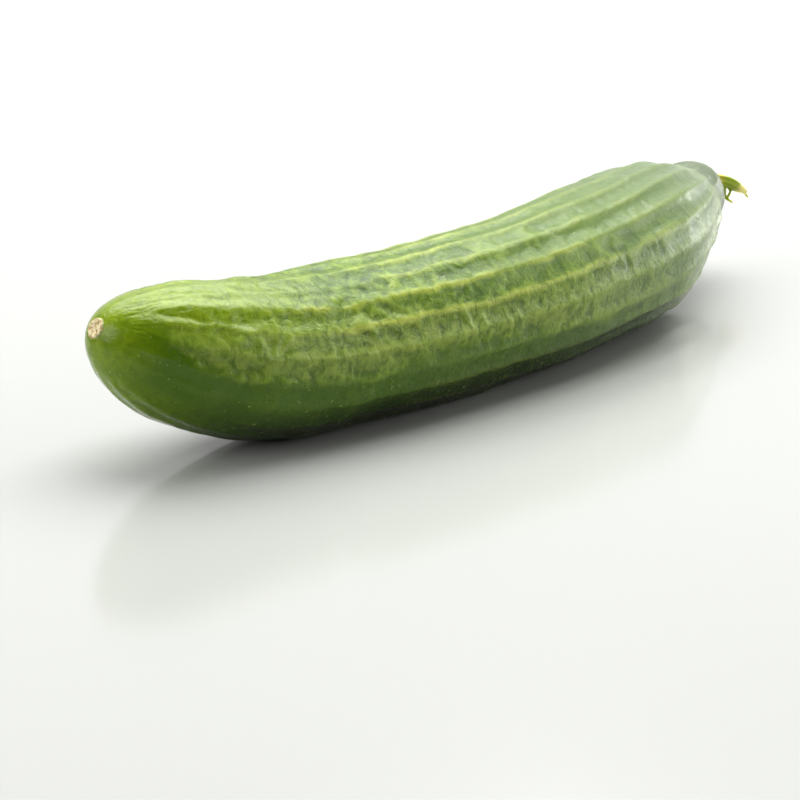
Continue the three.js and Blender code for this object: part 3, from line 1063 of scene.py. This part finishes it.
# %% Stalk
FIBRE_WIDTH = 0.5
FIBRE_PUSH = 0.22
FIBRE_BUMP = 0.1
stalk, stalk_tree = new_material("torn_green_stalk")
along_stub = add_node(stalk_tree, "ShaderNodeAttribute", attribute_name="along").outputs["Fac"]
coords = add_node(stalk_tree, "ShaderNodeTexCoord").outputs["Object"]
fibre_scale = {"Scale": 1 / (FIBRE_WIDTH * MM), "Detail": 3.0}
fibres = add_node(stalk_tree, "ShaderNodeTexNoise", {"Vector": coords, **fibre_scale}).outputs["Fac"]
push = {0: fibres, 1: FIBRE_PUSH, 2: along_stub}
pushed = add_node(stalk_tree, "ShaderNodeMath", push, operation="MULTIPLY_ADD")
yellows = add_node(stalk_tree, "ShaderNodeValToRGB", {"Fac": pushed.outputs["Value"]})
set_stops(yellows.color_ramp, [
    (0.3, "#a9b052"), (0.52, "#d3ca5c"), (0.66, "#cdc353"),
    (0.76, "#98ab34"), (0.93, "#a2b03e"), (1.0, "#efe6a0"),
])
rough_values = {"Height": fibres, "Strength": 0.6, "Distance": FIBRE_BUMP * MM}
rough = add_node(stalk_tree, "ShaderNodeBump", rough_values)
flesh = add_node(
    stalk_tree, "ShaderNodeBsdfPrincipled",
    {
        "Base Color": yellows.outputs["Color"],
        "Roughness": 0.55,
        "Normal": rough.outputs["Normal"],
        "Subsurface Weight": 0.5,
        "Subsurface Radius": (1.0, 1.0, 0.3),
        "Subsurface Scale": 2.0 * MM,
    },
)
add_node(stalk_tree, "ShaderNodeOutputMaterial", {"Surface": flesh.outputs["BSDF"]})
stub.data.materials.clear()
stub.data.materials.append(stalk)
print("stalk material:", len(stalk_tree.nodes), "nodes")

# %% [markdown]
# ## White acrylic board
# The fruit lies on a sheet of cast acrylic, which is smooth and a little glossy, so the fruit has a soft
# mirror image under it. It is far larger than the view, so no edge shows. It lies a fifth of a
# millimetre low, because two faces in one plane would flicker.

# %% Board
BOARD_HALF = 4.0
BOARD_DROP = 0.2
corners = [(x * BOARD_HALF, y * BOARD_HALF, 0) for x, y in ((-1, -1), (1, -1), (1, 1), (-1, 1))]
board_mesh = bpy.data.meshes.new("white_board")
board_mesh.from_pydata(corners, [], [(0, 1, 2, 3)])
board = bpy.data.objects.new("white_board", board_mesh)
board.location.z = -BOARD_DROP * MM
bpy.context.collection.objects.link(board)
acrylic, acrylic_tree = new_material("white_acrylic_board")
sheet_values = {"Base Color": linear("#c2c3c0"), "Roughness": 0.14, "IOR": 1.49}
sheet = add_node(acrylic_tree, "ShaderNodeBsdfPrincipled", sheet_values)
add_node(acrylic_tree, "ShaderNodeOutputMaterial", {"Surface": sheet.outputs["BSDF"]})
board_mesh.materials.append(acrylic)
board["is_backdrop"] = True
print("board:", 2 * BOARD_HALF, "m wide")

# %% [markdown]
# ## Lights
# A very large softbox over the far side of the table gives the top its pale haze. A long panel beside the
# fruit keeps colour in the flank, a second softbox draws the highlight on the nose, and a low strip
# picks out the rim of the shoulder and the stub. Large lights make soft edges, as in a food studio.

# %% Lights
def softbox(name, stand, target, width, height, watts):
    lamp = bpy.data.lights.new(name, "AREA")
    lamp.shape = "RECTANGLE"
    lamp.size = width
    lamp.size_y = height
    lamp.energy = watts
    light = bpy.data.objects.new(name, lamp)
    light.location = stand
    light.rotation_euler = (Vector(target) - Vector(stand)).to_track_quat("-Z", "Y").to_euler()
    light.visible_camera = False
    bpy.context.collection.objects.link(light)
    print(name, watts, "W")


softbox("overhead_softbox", (0.7, 0.4, 1.15), (0.7, 0.4, 0), 1.8, 1.6, 36)
softbox("side_panel", (1.0, -1.4, 0.6), (0.05, 0, 0.05), 2.5, 0.75, 12)
softbox("left_softbox", (-1.3, 0.45, 0.75), (-0.1, 0, 0.04), 1.1, 1.1, 13)
softbox("rim_strip", (1.2, -0.25, 0.1), (0.1, 0, 0.03), 0.9, 0.16, 2.2)

# %% [markdown]
# ## The room
# The wall behind the fruit is white and the camera's side of the room is dark. The white wall makes the
# backdrop and brightens the far edge, and the dark side keeps the flank from turning grey. A brightness
# that grows smoothly with the direction does both.

# %% Room
WHITE_SIDE = (0.93, 0.36, 0.0)
DARK_WALL = 0.08
WHITE_WALL = 0.95
world = bpy.data.worlds.new("white_room")
bpy.context.scene.world = world
world.use_nodes = True
room = world.node_tree
way = add_node(room, "ShaderNodeTexCoord").outputs["Generated"]
backwards = add_node(room, "ShaderNodeVectorMath", {0: way, 1: WHITE_SIDE}, operation="DOT_PRODUCT")
brightness = add_node(
    room, "ShaderNodeMapRange",
    {
        "Value": backwards.outputs["Value"],
        "From Min": -0.1,
        "From Max": 0.5,
        "To Min": DARK_WALL,
        "To Max": WHITE_WALL,
    },
    interpolation_type="SMOOTHSTEP",
)
wall = room.nodes["Background"]
wall.inputs["Color"].default_value = linear("#ffffff")
room.links.new(brightness.outputs["Result"], wall.inputs["Strength"])
print("walls from", DARK_WALL, "to", WHITE_WALL)

# %% [markdown]
# ## Camera
# A long lens from just under a metre, looking down at 18 degrees from the blossom end's side. The long
# lens keeps the near nose from growing too large. The picture is shown with a plain curve and a slightly
# lowered gamma, because the usual film curve would dull the fresh green.

# %% Camera
LOOK_AT = Vector((-0.0949, -0.0456, 0.022))
DISTANCE = 0.8977
LENS = 148.5
SENSOR_WIDTH = 36
AZIMUTH = math.radians(-50)
ELEVATION = math.radians(18)
back = Vector((
    math.sin(AZIMUTH) * math.cos(ELEVATION),
    -math.cos(AZIMUTH) * math.cos(ELEVATION),
    math.sin(ELEVATION),
))
camera_data = bpy.data.cameras.new("studio_camera")
camera_data.lens = LENS
camera_data.sensor_width = SENSOR_WIDTH
camera = bpy.data.objects.new("studio_camera", camera_data)
camera.location = LOOK_AT + DISTANCE * back
camera.rotation_euler = (-back).to_track_quat("-Z", "Y").to_euler()
bpy.context.collection.objects.link(camera)
bpy.context.scene.camera = camera
bpy.context.scene.view_settings.view_transform = "Standard"
bpy.context.scene.view_settings.gamma = 0.86
print("camera at", [round(v, 2) for v in camera.location])

# %% [markdown]
# ## Size of the result
# The dressed fruit has to fill the same space as the solid. Both boxes are written down side by side, in
# millimetres, so that the difference can be read.

# %% Size of the result
visual_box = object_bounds()
for name, (low, high) in (("solid", cad_box), ("skin", visual_box)):
    print(name, [round(1000 * v, 1) for v in low], [round(1000 * v, 1) for v in high])
